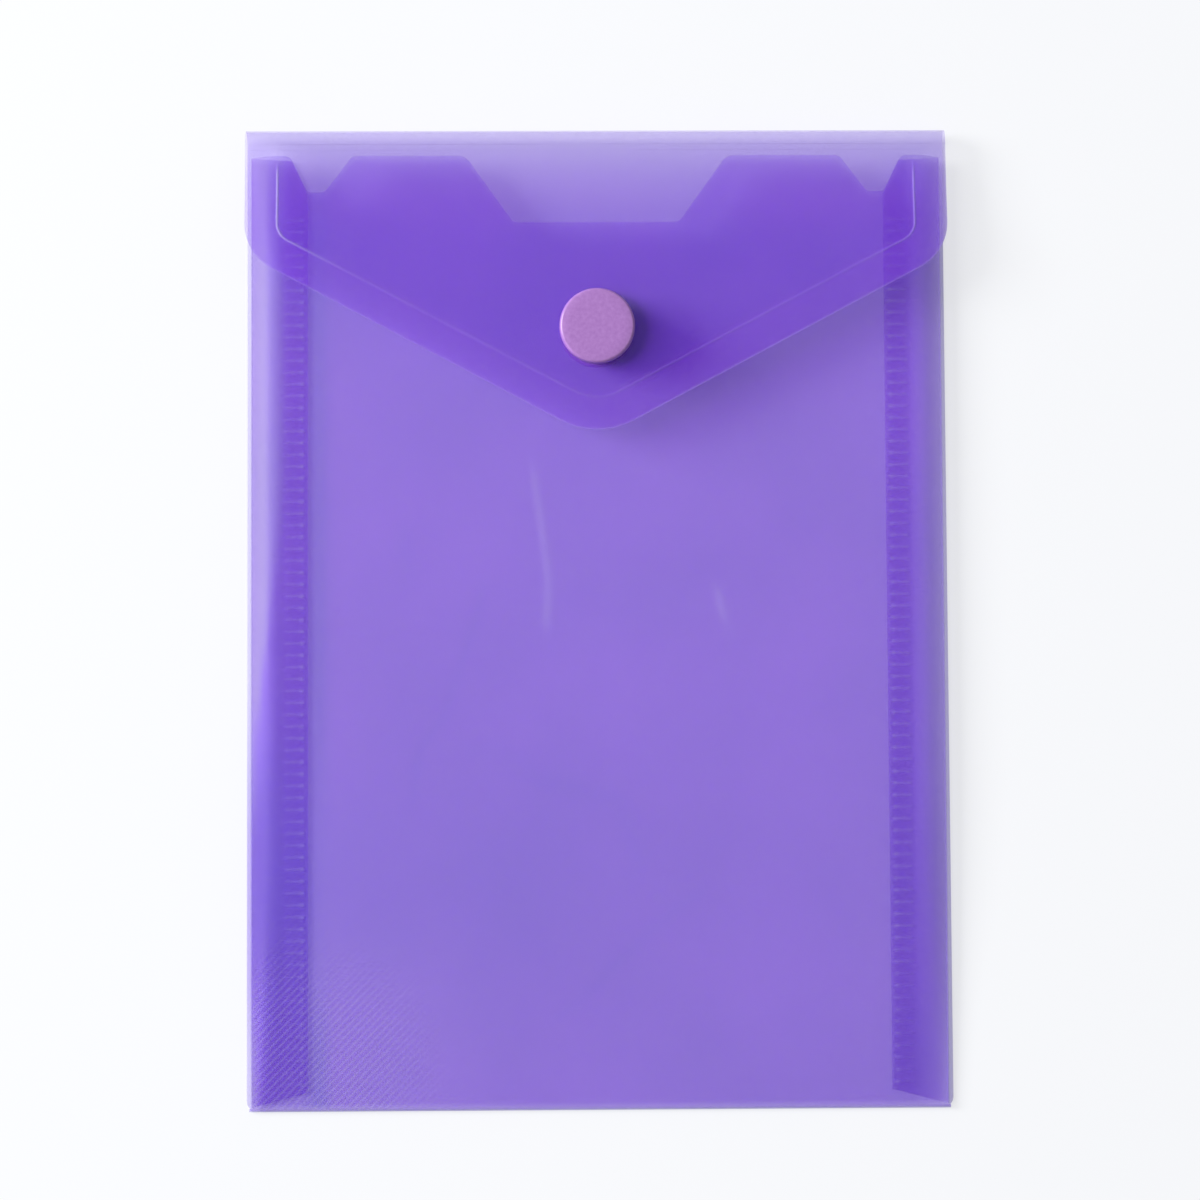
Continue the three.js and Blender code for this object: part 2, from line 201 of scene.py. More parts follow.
def rounded_path(corners, arc_steps, straight_steps=1):
    """Points along a path through (x, y, radius) corners. The corners between the two ends become arcs of
    arc_steps, and each straight stretch has straight_steps (one number, or one for each stretch)."""
    corners = [np.array(corner, dtype=float) for corner in corners]
    stretches = len(corners) - 1
    counts = [straight_steps] * stretches if isinstance(straight_steps, int) else straight_steps
    arcs = []
    for before, corner, after in zip(corners, corners[1:], corners[2:]):
        back = (before[:2] - corner[:2]) / np.linalg.norm(before[:2] - corner[:2])
        on = (after[:2] - corner[:2]) / np.linalg.norm(after[:2] - corner[:2])
        half = math.acos(np.clip(back @ on, -1, 1)) / 2
        bisector = (back + on) / np.linalg.norm(back + on)
        centre = corner[:2] + bisector * corner[2] / math.sin(half)
        first = corner[:2] + back * corner[2] / math.tan(half)
        last = corner[:2] + on * corner[2] / math.tan(half)
        start = math.atan2(*(first - centre)[::-1])
        turn = math.remainder(math.atan2(*(last - centre)[::-1]) - start, 2 * math.pi)
        angle = start + turn * np.linspace(0, 1, arc_steps + 1)
        arcs.append(centre + corner[2] * np.stack([np.cos(angle), np.sin(angle)], axis=1))
    points = []
    begin = corners[0][:2]
    for index in range(stretches):
        end = arcs[index][0] if index < len(arcs) else corners[-1][:2]
        share = np.linspace(0, 1, counts[index] + 1)[:-1, None]
        points.append(begin + (end - begin) * share)
        if index < len(arcs):
            points.append(arcs[index][:-1])
            begin = arcs[index][-1]
    points.append(corners[-1][None, :2])
    return np.concatenate(points)


def smooth_step(low, high, value):
    """0 on low's side, 1 on high's side, easing in and out between. Low may be the larger number."""
    share = np.clip((value - low) / (high - low), 0, 1)
    return share * share * (3 - 2 * share)


def bell(distance, width):
    """A bell curve: 1 at distance 0, 0.37 at width, and next to nothing at twice the width."""
    return np.exp(-((distance / width) ** 2))


# The lie of the film

def rise(y):
    """How much of its full height the front has reached at y: a quarter sine over RISE_LENGTH."""
    return np.sin(np.clip((y - FRONT_START_Y) / RISE_LENGTH, 0, 1) * math.pi / 2)


def crease_height(y):
    """Height of the side crease at y."""
    return CREASE_BOTTOM + (CREASE_TOP - CREASE_BOTTOM) * rise(y)


def slack(y):
    """How slack the front's left side lies at y, from 0 to 1."""
    return smooth_step(*SLACK_UPPER, y) * smooth_step(*SLACK_LOWER, y)


def front_middle(x, y):
    """Middle of the front's film: level across, with a parabola down to each side crease. Where the left side
    is slack, its parabola is SLACK_WIDTH wide."""
    level = CREASE_BOTTOM + (FRONT_TOP - FILM - CREASE_BOTTOM) * rise(y) + FILM / 2
    crease = crease_height(y) + FILM / 2 + CURL_LIFT
    inward = CURL_X - np.abs(x)
    taut = 1 - (1 - np.clip(inward / (CURL_X - SHOULDER_X), 0, 1)) ** 2
    sagging = 1 - (1 - np.clip(inward / SLACK_WIDTH, 0, 1)) ** 2
    climb = taut + (sagging - taut) * slack(y) * (x < 0)
    return crease + (level - crease) * climb + waves(x, y)


def waves(x, y):
    """Slight unevenness of the front's film, at most 0.15 mm: a broad swell and a slanting one, which both
    fade out towards the side folds and the bottom fold."""
    still_margin, side_fade, bottom_fade = 4, 12, 25
    from_side = CREASE_X - still_margin - np.abs(x)
    loose = smooth_step(0, side_fade, from_side) * smooth_step(0, bottom_fade, y - FRONT_START_Y)
    broad = 0.10 * np.sin(x / 13.0 + 0.6) * np.sin(y / 29.0 + 0.8)
    slanting = 0.05 * np.sin(x / 7.0 - y / 31.0)
    return loose * (broad + slanting)


def flap_middle(y):
    """Middle of the flap's film at y: an S from the top fold up to the snap, level from there on."""
    level_y = SNAP_Y + CAP_HIGH[0]
    share = np.clip((TOP_FOLD_Y - y) / (TOP_FOLD_Y - level_y), 0, 1)
    root = 2 * TOP_RADIUS - FILM / 2
    level = SOCKET_HIGH[2] + FILM / 2
    return root + (level - root) * (1 - np.cos(share * math.pi)) / 2


def mouth_edge():
    """The front's upper edge, with the thumb cut-out and the two relief notches, as (x, y) points."""
    right = [
        (NOTCH_OUTER, MOUTH_Y, NOTCH_RADIUS),
        (NOTCH_BOTTOM_OUTER, TOP_Y - NOTCH_DROP, NOTCH_RADIUS),
        (NOTCH_BOTTOM_INNER, TOP_Y - NOTCH_DROP, NOTCH_RADIUS),
        (NOTCH_INNER, MOUTH_Y, NOTCH_RADIUS),
        (THUMB_HALF_TOP, MOUTH_Y, THUMB_TOP_RADIUS),
        (THUMB_HALF_BOTTOM, TOP_Y - THUMB_DROP, THUMB_BOTTOM_RADIUS),
    ]
    left = [(-x, y, radius) for x, y, radius in right]
    return rounded_path([(-CURL_X, MOUTH_Y, 0), *left, *right[::-1], (CURL_X, MOUTH_Y, 0)], 7)


# Painted light: where the film is made paler, as the lamp's light runs in along the folds and creases

def bend_dimming(drop):
    """The painted light right at the top edge is only about half as strong as 1 to 2 mm below it."""
    return 1 - 0.45 * bell(drop, 1.1)


def painted_fold_light(y):
    """Painted light on the flap under the top fold: half at the fold, strongest 1 mm below it, gone after 12
    mm.
    """
    strength, length, steepness = 0.70, 4.6, 1.4
    drop = np.maximum(TOP_Y - y, 0)
    return strength * np.exp(-((drop / length) ** steepness)) * bend_dimming(drop)


def painted_mouth_light(x, y):
    """Painted light on the back above the mouth and in its cut-outs, where no front keeps the light from it.
    It fades over 20 mm from the top fold, and a quarter of it runs on under the front."""
    strength, length, blur, under_front = 0.85, 11.5, 0.8, 0.25
    edge = mouth_edge()
    bare = smooth_step(-blur, blur, y - np.interp(x, edge[:, 0], edge[:, 1]))
    drop = np.maximum(TOP_Y - y, 0)
    falling = strength * bell(drop, length) * bend_dimming(drop)
    return falling * (under_front + (1 - under_front) * bare)


def share_of_left_painted_light(y):
    """How much painted light runs into the left side: none where it lies slack, and less at the bottom
    corner.
    """
    return (1 - slack(y)) * (1 - 0.4 * smooth_step(-45, -70, y))


def painted_left_light(y, inward):
    """Painted light inside the left side crease, which faces the lamp: even over half its reach, which is 6
    mm near the mouth and 1 mm in the lower half, and fading from there."""
    strength, least_reach, more_reach, even_share = 0.48, 1.2, 5.0, 0.55
    reach = least_reach + more_reach * smooth_step(-25, 25, y)
    return strength * smooth_step(reach, even_share * reach, inward) * share_of_left_painted_light(y)


def painted_right_light(y, inward):
    """Faint painted light inside the right side crease, which faces away from the lamp: a wide band that
    thins out towards the bottom, and a narrow one along the crease."""
    wide = 0.26 * smooth_step(7, 1, inward) * (1 - 0.4 * smooth_step(0, -60, y))
    narrow = 0.22 * bell(inward, 1.3)
    return wide + narrow


def painted_side_light(x, y):
    """Painted light inside both side creases, as a pale part and a grey part. The left one is grey next to
    the crease and pale, and weaker, further in. The painted light dips along a line 0.3 mm wide at the crease
    itself."""
    pale_share = 0.57
    inward = np.maximum(CREASE_X - np.abs(x), 0)
    left = np.where(x < 0, painted_left_light(y, inward), 0)
    right = np.where(x > 0, painted_right_light(y, inward), 0)
    near = smooth_step(3.6, 2.0, inward)
    line = 1 - 0.3 * bell(inward - 0.15, 0.15)
    return (pale_share * left * (1 - near) + right) * line, left * near * line


# Painted shade: where the film is made deeper, as layers lie close over each other and little light gets
# between them

def tab_shade(x, y):
    """Soft shade beside the left tab's inner edge, a bell 3 mm wide, except where the front lies slack."""
    beside = TAB_INNER_X - 1.9
    return 0.5 * bell(-x - beside, 1.6) * (1 - 0.9 * slack(y))


def front_depth(x, y):
    """Painted shade where the front lies close over the tabs and their welds, more so towards the bottom,
    beside the left tab, on the left shoulder, and in a broad patch on the left, 42 mm below the middle, where
    it lies on the back. The whole front is also a little deeper towards the bottom."""
    lower = smooth_step(20, -60, y)
    left_tab = 0.35 * smooth_step(42.0, 46.8, -x)
    right_tab = 0.18 * smooth_step(44.8, 46.6, x)
    inside_shoulders = smooth_step(54.5, 50.5, np.abs(x))
    over_tabs = (left_tab + right_tab) * (0.6 + 0.8 * lower) * inside_shoulders
    left_shoulder = 0.3 * smooth_step(50.5, 53.5, -x)
    patch = 0.35 * bell(y + 42, 16) * smooth_step(25, -20, x)
    return over_tabs + 0.12 * lower + left_shoulder + patch + tab_shade(x, y)


# Faint ridges and creases in the front's film: the ridges carry a painted highlight, and the creases painted
# shade. Each has the (x, y) points along it, its width, how far it stands up, and how much paler or deeper it
# is.
HIGHLIGHT_RIDGES = [
    ([(-10.7, 25.5), (-9.9, 20.2), (-8.8, 12.9), (-8.0, 5.7), (-8.4, -3.9)], 0.65, 0.03, 0.2, 0.0),
    ([(18.4, 6.4), (19.4, 2.0), (20.7, -3.2)], 0.65, 0.02, 0.22, 0.0),
]
CREASES = [
    ([(-17.6, 7.4), (-19.2, 1.0), (-20.4, -3.8), (-22.8, -10.2), (-24.4, -15.8), (-28.4, -21.3),
      (-29.2, -26.1), (-29.7, -31.7)], 0.7, -0.03, 0.0, 0.3),
    ([(-31.2, 17.0), (-30.7, 10.6), (-30.4, 4.2)], 1.0, -0.02, 0.0, 0.24),
    ([(18.5, -42.3), (12.9, -46.2), (8.1, -50.1), (3.3, -54.8), (-2.3, -60.3), (-7.9, -65.0)],
     0.8, -0.03, 0.0, 0.27),
    ([(8.1, -42.2), (9.6, -45.0), (12.9, -46.2)], 0.7, -0.02, 0.0, 0.22),
    ([(-23.6, -21.4), (-15.6, -21.4), (-9.3, -26.2), (3.4, -29.5), (6.5, -39.0), (3.3, -45.3)],
     1.6, -0.02, 0.0, 0.18),
]
MARK_TAPER = 4


def marks(x, y):
    """Height, painted highlight and painted shade of the front's ridges and creases: each is a bell across
    its width, by the distance to the nearest stretch of its line, and thins out over its last MARK_TAPER at
    both ends."""
    height, pale, deep = np.zeros((3,) + x.shape)
    for points, width, stands, paler, deeper in HIGHLIGHT_RIDGES + CREASES:
        points = np.array(points)
        nearest = np.full(x.shape, np.inf)
        for start, end in zip(points, points[1:]):
            way = end - start
            share = ((x - start[0]) * way[0] + (y - start[1]) * way[1]) / (way @ way)
            share = np.clip(share, 0, 1)
            off = np.hypot(x - start[0] - share * way[0], y - start[1] - share * way[1])
            nearest = np.minimum(nearest, off)
        ends = [np.hypot(x - end[0], y - end[1]) for end in (points[0], points[-1])]
        mark = bell(nearest, width) * smooth_step(0, MARK_TAPER, np.minimum(*ends))
        height += stands * mark
        pale += paler * mark
        deep += deeper * mark
    return height, pale, deep


# Film pieces

def front_film():
    """The front with both shoulders: columns across, rows from the bottom fold to the mouth's edge, whose
    height at each x has the thumb cut-out and the two relief notches. Columns are closer where there are
    ridges and creases. The bottom and the cut edge get a little painted light, and hatch grows towards the
    lower left corner."""
    edge = mouth_edge()
    spacing_from = [(-CURL_X, 1.0), (-33.0, 0.5), (-6.0, 1.0), (16.0, 0.5), (23.0, 1.0), (CURL_X, 1.0)]
    even = [np.arange(x, end, step) for (x, step), (end, _) in zip(spacing_from, spacing_from[1:])]
    across = np.unique(np.concatenate([edge[:, 0], *even]).round(2))
    top = np.interp(across, edge[:, 0], edge[:, 1])
    share = np.linspace(0, 1, 190)[:, None]
    y = FRONT_START_Y + (top - FRONT_START_Y) * share
    x = np.broadcast_to(across, y.shape)
    height, ridge_highlight, crease_shade = marks(x, y)
    middle = np.stack([x, y, front_middle(x, y) + height], axis=2)
    # Painted light along the bottom fold and along the cut edge
    bottom = 0.35 * bell(y - FRONT_START_Y, 0.4)
    cut = 0.15 * bell(top - y, 0.25)
    hatch = smooth_step(-12, -40, x) * smooth_step(-42, -66, y)
    # Painted light from the side creases, painted highlight on the ridges, painted shade in the creases and
    # over the tabs
    glow, dull = painted_side_light(x, y)
    pale = glow + bottom + cut + ridge_highlight
    deep = front_depth(x, y) + crease_shade
    return film_piece("front_film", middle, pale=pale, dull=dull, deep=deep, hatch=hatch)


def rung_pattern(x, y):
    """The ladder weld's print in the tab, as two heights from 0 to 1: low ridges across the weld, one every
    RUNG_PITCH, and a small round foot at the inner end of each."""
    count = np.round((y - FIRST_RUNG_Y) / RUNG_PITCH)
    off = y - FIRST_RUNG_Y - count * RUNG_PITCH
    there = (y > WELD_LOW[1]) & (y < WELD_HIGH[1])
    begins = smooth_step(WELD_INNER_X - 0.1, WELD_INNER_X + 0.3, x)
    ends = smooth_step(WELD_OUTER_X, WELD_OUTER_X - 0.4, x)
    ridge = bell(off, 0.22) * begins * ends
    foot = bell(np.hypot(off, x - WELD_INNER_X - 0.35), 0.3)
    return ridge * there, foot * there


def tab_film(side, name):
    """A gusset tab: flat on its weld, sloping up to the side crease and curled back over at it. Rows run up
    the wallet, and columns follow the film from the tab's inner edge to the end of the curl. The top inner
    corner is cut off in line with the notch."""
    margin = np.linspace(TAB_INNER_X, WELD_INNER_X, 4)[:-1]
    welded_width = np.linspace(WELD_INNER_X, WELD_OUTER_X, 18)
    slope = np.linspace(WELD_OUTER_X, CURL_X, 12)[1:]
    turn = np.linspace(-math.pi / 2, math.pi / 2, 9)[1:]
    across = np.concatenate([margin, welded_width, slope, CURL_X + CURL_RADIUS * np.cos(turn)])
    tab_ends = [BOTTOM_Y + TAB_END_INNER, BOTTOM_Y + TAB_END_OUTER]
    clear_of_fold = FRONT_START_Y + 0.05
    lowest = np.maximum(np.interp(across, [TAB_INNER_X, CREASE_X], tab_ends), clear_of_fold)
    slant = (MOUTH_Y - (TOP_Y - NOTCH_DROP)) / (NOTCH_OUTER - NOTCH_BOTTOM_OUTER)
    highest = MOUTH_Y - np.maximum(NOTCH_OUTER - across, 0) * slant
    below = lowest + (WELD_LOW[1] - lowest) * np.linspace(0, 1, 9)[:-1, None]
    welded = np.arange(WELD_LOW[1], WELD_HIGH[1], RUNG_PITCH / 8)[:, None] + 0 * across
    above = WELD_HIGH[1] + (highest - WELD_HIGH[1]) * np.linspace(0, 1, 13)[:, None]
    y = np.concatenate([below, welded, above])
    crease = crease_height(y)
    outward = np.clip((across - WELD_OUTER_X) / (CURL_X - WELD_OUTER_X), 0, 1)
    low = TAB_LOW[2] + FILM / 2
    z = low + (crease - FILM / 2 - low) * outward
    curl = slice(-len(turn), None)
    z[:, curl] = crease[:, curl] - FILM / 2 + CURL_RADIUS + CURL_RADIUS * np.sin(turn)
    x = np.broadcast_to(across, y.shape)
    rung, foot = rung_pattern(x, y)
    middle = np.stack([side * x, y, z + 0.05 * rung + 0.03 * foot], axis=2)
    # Painted highlight along the tab's inner cut edge; the rungs and feet are the weld's own pale print
    edge = 0.12 * bell(x - TAB_INNER_X, 0.25)
    pale_rung = 0.05 + 0.3 * smooth_step(-65, -45, y)
    pale_foot = 0.5
    # Painted light from the side crease
    glow, dull = painted_side_light(side * x, y)
    pale = glow + edge + rung * pale_rung + pale_foot * foot
    deep = 0.5 * smooth_step(30, -45, y)
    order = slice(None, None, side)
    return film_piece(name, middle[:, order], pale=pale[:, order], dull=dull[:, order], deep=deep[:, order])


def half_round(outer_radius, centre_y, angle, across):
    """Middle of a fold's film: a half circle about the line along X at centre_y, outer_radius up, at each of
    the angles and places across."""
    radius = outer_radius - FILM / 2
    shape = (len(angle), len(across))
    x = np.broadcast_to(across, shape)
    y = np.broadcast_to(centre_y + radius * np.cos(angle), shape)
    z = np.broadcast_to(outer_radius + radius * np.sin(angle), shape)
    return np.stack([x, y, z], axis=2)


def bottom_fold_film():
    """Half-round fold along the bottom edge, from the back panel round to the front. Its outermost part gets
    painted shade, and the rest a little painted light."""
    corner = 0.5
    angle = np.linspace(1.5 * math.pi, 0.5 * math.pi, 17)[:, None]
    across = np.linspace(-HALF_WIDTH + corner, HALF_WIDTH - corner, 60)
    middle = half_round(BOTTOM_RADIUS, FRONT_START_Y, angle, across)
    # Painted shade on the outermost part of the fold, painted light on the rest
    outermost = smooth_step(0.4, 0.9, -np.cos(angle)) + 0 * across
    pale = 0.3 * (1 - outermost)
    return film_piece("bottom_fold_film", middle[::-1], pale=pale[::-1], deep=outermost[::-1])


def top_fold_film():
    """Half-round fold along the top edge, from the back panel round to the flap, with painted light along it.
    """
    angle = np.linspace(-0.5 * math.pi, 0.5 * math.pi, 41)[:, None]
    across = np.linspace(-HALF_WIDTH, HALF_WIDTH, 60)
    middle = half_round(TOP_RADIUS, TOP_FOLD_Y, angle, across)[:, ::-1]
    x, y = middle[..., 0], middle[..., 1]
    upper = (1 + np.sin(angle)) / 2
    # Painted light on the fold, from the flap's side and from the mouth's side
    pale = painted_fold_light(y) * upper + painted_mouth_light(x, y) * (1 - upper)
    return film_piece("top_fold_film", middle, pale=pale)


def flap_corners(inset):
    """Corners of the flap's edge moved in by inset, from the top fold on the left round to the right."""
    slope = (FLAP_TIP_DROP - FLAP_CORNER_DROP) / HALF_WIDTH
    shift = inset * math.hypot(1, slope)
    side = HALF_WIDTH - inset
    corner_y = TOP_Y - FLAP_CORNER_DROP - inset * slope + shift
    return [
        (-side, TOP_FOLD_Y, 0),
        (-side, corner_y, FLAP_CORNER_RADIUS - inset),
        (0, TOP_Y - FLAP_TIP_DROP + shift, FLAP_TIP_RADIUS - inset),
        (side, corner_y, FLAP_CORNER_RADIUS - inset),
        (side, TOP_FOLD_Y, 0),
    ]


def flap_film():
    """The flap: rows are its edge moved in step by step past the raised bead, and then shrunk evenly to a
    short stretch of the top fold. The bead is a rounded ridge along the edge at BEAD_INSET, higher on the
    upright sides. It carries a painted highlight, strongest there and on the left, towards the lamp, and the
    cut edge a fainter one; the film under the fold gets painted light. The film inside the bead is a little
    deeper."""
    edge_strip = [0, 0.1, 0.2, 0.35, 0.6]
    before_bead = np.linspace(1, 4.2, 6)
    bead = BEAD_INSET + np.linspace(-1, 1, 11) * BEAD_WIDTH
    inset = np.concatenate([edge_strip, before_bead, bead, [6.2, 6.6]])
    stretches = [18, 46, 46, 18]
    rings = np.stack([rounded_path(flap_corners(step), 12, stretches) for step in inset])
    last = rings[-1]
    half_target = 8
    target_x = np.linspace(-half_target, half_target, len(last))
    target = np.stack([target_x, np.full(len(last), TOP_FOLD_Y)], axis=1)
    share = np.linspace(0, 1, 34)[1:, None, None]
    inner = last + (target - last) * share
    flat = np.concatenate([rings, inner])
    distance = np.concatenate([inset, np.full(len(inner), inset[-1])])[:, None]
    x, y = flat[..., 0], flat[..., 1]
    drop = TOP_Y - y
    ridge = np.clip(1 - ((distance - BEAD_INSET) / (BEAD_WIDTH / 2)) ** 2, 0, 1)
    ridge = ridge * smooth_step(BEAD_START_DROP, BEAD_START_DROP + 3, drop)
    upright = smooth_step(FLAP_CORNER_DROP + 3, FLAP_CORNER_DROP - 5, drop)
    z = flap_middle(y) + BEAD_HEIGHT * ridge * (0.4 + 0.6 * upright)
    middle = np.concatenate([flat, z[..., None]], axis=2)
    # Painted highlights along the cut edge and on the bead, strongest on the upright sides and on the left,
    # towards the lamp
    pale_edge = 0.36 * bell(distance, 0.2)
    pale_slant = np.where(x < 0, 0.15, 0.13)
    pale_upright = upright * np.where(x < 0, 0.8, 0.3)
    pale = (pale_slant + pale_upright) * ridge + pale_edge + painted_fold_light(y)
    below_fold = smooth_step(10, 20, drop)
    inside_bead = smooth_step(BEAD_INSET - 0.3, BEAD_INSET + 1.5, distance) * below_fold
    deep = 0.08 * below_fold + 0.26 * inside_bead
    return film_piece("flap_film", middle, pale=pale, deep=deep)


def back_film():
    """The back panel: a flat sheet with rounded bottom corners. Its rows are closer from just under the thumb
    cut-out up. Its margin at both sides gets painted light, and so does the film above the mouth, the side
    creases' painted light shows on it too, but less, and it gets painted shade beside the left tab."""
    corner = rounded_path([
        (-HALF_WIDTH, TOP_FOLD_Y, 0),
        (-HALF_WIDTH, BOTTOM_Y, CORNER_RADIUS),
        (HALF_WIDTH, BOTTOM_Y, CORNER_RADIUS),
        (HALF_WIDTH, TOP_FOLD_Y, 0),
    ], 8)
    even = np.linspace(-HALF_WIDTH + CORNER_RADIUS, HALF_WIDTH - CORNER_RADIUS, 180)
    across = np.unique(np.concatenate([corner[:, 0], even]).round(3))
    inner = corner[1:-1]
    lowest = np.maximum(np.interp(across, inner[:, 0], inner[:, 1]), FRONT_START_Y)
    closer_from = 0.87
    rows = [np.linspace(0, closer_from, 100)[:-1], np.linspace(closer_from, 1, 60)]
    share = np.concatenate(rows)[:, None]
    y = lowest + (TOP_FOLD_Y - lowest) * share
    x = np.broadcast_to(across, y.shape)
    middle = np.stack([x, y, np.full(y.shape, FILM / 2)], axis=2)
    # Painted light in the margin, on the left only as far as light runs in there
    margin = smooth_step(1.2, 0.5, HALF_WIDTH - np.abs(x))
    margin = margin * np.where(x < 0, 0.4 + 0.6 * share_of_left_painted_light(y), 0.6)
    # Painted light from the side creases and above the mouth, and painted shade beside the left tab
    share_of_painted_light = 0.7
    glow, dull = painted_side_light(x, y)
    pale = margin + share_of_painted_light * glow + painted_mouth_light(x, y)
    return film_piece("back_film", middle, pale=pale, dull=share_of_painted_light * dull, deep=tab_shade(x, y))


def weld_rungs(side, name):
    """The ladder weld: one low rounded bar for each rung, whose width is an eighth-power oval along it, with
    a wider round foot at its inner end. Both ends are closed."""
    along = np.linspace(0, 1, 15)
    oval = np.sqrt(np.clip(1 - (2 * along - 1) ** 8, 0.02, 1))
    foot = 0.24 * bell(along - 0.08, 0.07)
    half = RUNG_WIDTH / 2 * oval + foot
    around = np.linspace(0, 2 * math.pi, 9)[:-1]
    height = WELD_HIGH[2] - WELD_LOW[2]
    x = WELD_INNER_X + (WELD_OUTER_X - WELD_INNER_X) * along[:, None] + 0 * around
    y = half[:, None] * np.cos(around)
    z = WELD_LOW[2] + height / 2 + height / 2 * np.sin(around) + 0 * along[:, None]
    rings = np.stack([side * x, y, z], axis=2)
    ends = rings[[0, -1]].mean(axis=1)
    one = np.concatenate([rings.reshape(-1, 3), ends])
    corner = np.arange(rings[..., 0].size).reshape(rings.shape[:2])
    wrapped = np.concatenate([corner, corner[:, :1]], axis=1)
    first, last = wrapped[0], wrapped[-1]
    start_cap = np.stack([first[:-1:2], first[1::2], first[2::2], np.full(4, len(one) - 2)], axis=1)
    end_cap = np.stack([last[2::2], last[1::2], last[:-1:2], np.full(4, len(one) - 1)], axis=1)
    faces = np.concatenate([faces_between(wrapped.T), start_cap, end_cap])
    if side < 0:
        faces = faces[:, ::-1]
    number = np.arange(int((WELD_HIGH[1] - WELD_LOW[1]) / RUNG_PITCH) + 1)[:, None, None]
    vertices = one[None] + np.array([0, 1, 0]) * (FIRST_RUNG_Y + RUNG_PITCH * number)
    every = faces[None] + number * len(one)
    return mesh_object(name, vertices.reshape(-1, 3), every.reshape(-1, 4))


# Snap pieces

def arc(centre_r, centre_z, radius, start, end, steps):
    """Points of a rounded edge in a turned profile, from angle start to angle end in degrees."""
    angle = np.radians(np.linspace(start, end, steps + 1))
    return [(centre_r + radius * math.cos(a), centre_z + radius * math.sin(a)) for a in angle]


def cap_profile(height, pin_length):
    """A cap that stands on height 0, nearly flat on top, with a small rounded rim, and below it a pin that
    ends in a rivet head."""
    radius, rim, edge, crown = CAP_HIGH[0], 0.55, 0.35, 0.04
    rivet, rivet_height, chamfer = 1.35, 0.35, 0.15
    rivet_end = -pin_length - rivet_height
    return [
        (AXIS, rivet_end), (rivet - chamfer, rivet_end), (rivet, rivet_end + chamfer), (rivet, -pin_length),
        (PIN_RADIUS, -pin_length), (PIN_RADIUS, 0), (radius - edge, 0),
        *arc(radius - edge, edge, edge, -80, 0, 5),
        *arc(radius - rim, height - rim - crown, rim, 0, 80, 10),
        (radius - 1.6, height - 0.015), (radius - 3.5, height), (AXIS, height),
    ]


def socket_profile():
    """A flange with a rounded edge and the ring that hangs from it, open below."""
    flange, ring, bore, depth = SOCKET_HIGH[0], 3.8, 2.8, SOCKET_HIGH[2] - SOCKET_LOW[2]
    edge, bevel = 0.2, 0.05
    return [
        (PIN_HOLE, -SOCKET_WEB), (bore, -SOCKET_WEB), (bore, -depth + 0.35), (bore + 0.15, -depth + bevel),
        (bore + 0.25, -depth), *arc(ring - edge, -depth + edge, edge, -90, 0, 4),
        (ring, -SOCKET_WEB - 0.15), (ring + 0.15, -SOCKET_WEB),
        *arc(flange - edge, -SOCKET_WEB + edge, edge, -90, 0, 4),
        (flange, -bevel), (flange - bevel, 0), (PIN_HOLE, 0),
    ]


def stud_profile():
    """A flange and the hollow head that stands on it, with a drawn-in neck."""
    flange, web, head = STUD_HIGH[0], STUD_WEB, STUD_HIGH[2] - STUD_LOW[2]
    edge, bevel, head_edge, bore = 0.2, 0.05, 0.25, 1.5
    return [
        (PIN_HOLE, 0), (flange - bevel, 0), (flange, bevel), *arc(flange - edge, web - edge, edge, 0, 90, 4),
        (2.25, web), (2.1, web + 0.15), (2.12, web + 0.4), (2.3, web + 0.75),
        *arc(2.05, head - head_edge, head_edge, 0, 90, 5),
        (bore + 0.1, head), (bore, head - 0.1), (bore, web), (PIN_HOLE, web),
    ]


# Materials

# Colours the film is turned towards: a deeper violet for painted shade, the grey of painted light, and the
# white of prints and of painted light and highlights
DEEPEST, GREY_OF_PAINTED_LIGHT, PRINT_WHITE_AND_PAINTED_LIGHT = "#5510D4", "#B8B0C4", "#D6CEFA"
# Patterns: sizes of the cells of each noise (22 mm, 0.42 mm and 0.63 mm), the pitch of the roller's lines,
# and the pitch of a Wave texture's bands at scale 1
CLOUD_SIZE, GRAIN_SIZE, MOTTLE_SIZE = 200 / 9, 5 / 12, 5 / 8
LINE_PITCH, WAVE_PITCH = 0.9, 0.31416


def linear(hex_colour):
    """An sRGB hex colour as the linear RGBA that a node takes."""
    parts = [int(hex_colour[i:i + 2], 16) / 255 for i in (1, 3, 5)]
    return tuple(p / 12.92 if p <= 0.04045 else ((p + 0.055) / 1.055) ** 2.4 for p in parts) + (1.0,)


def add(tree, kind, settings=None, inputs=None):
    """Adds a node, sets its settings, and sets or links its inputs: a socket is linked, and anything else is
    a value."""
    node = tree.nodes.new(kind)
    for label, value in (settings or {}).items():
        setattr(node, label, value)
    for label, value in (inputs or {}).items():
        if isinstance(value, bpy.types.NodeSocket):
            tree.links.new(value, node.inputs[label])
        else:
            node.inputs[label].default_value = value
    return node


def new_material(name):
    """An empty node material with its output, as (material, tree, output)."""
    material = bpy.data.materials.new(name)
    material.use_nodes = True
    tree = material.node_tree
    tree.nodes.clear()
    return material, tree, add(tree, "ShaderNodeOutputMaterial")


def set_ramp(ramp, dark, light):
    """Sets a ramp to run from dark to light over the middle of a noise, where nearly all its values lie."""
    for stop, place, colour in zip(ramp.color_ramp.elements, (0.3, 0.7), (dark, light)):
        stop.position = place
        stop.color = linear(colour)


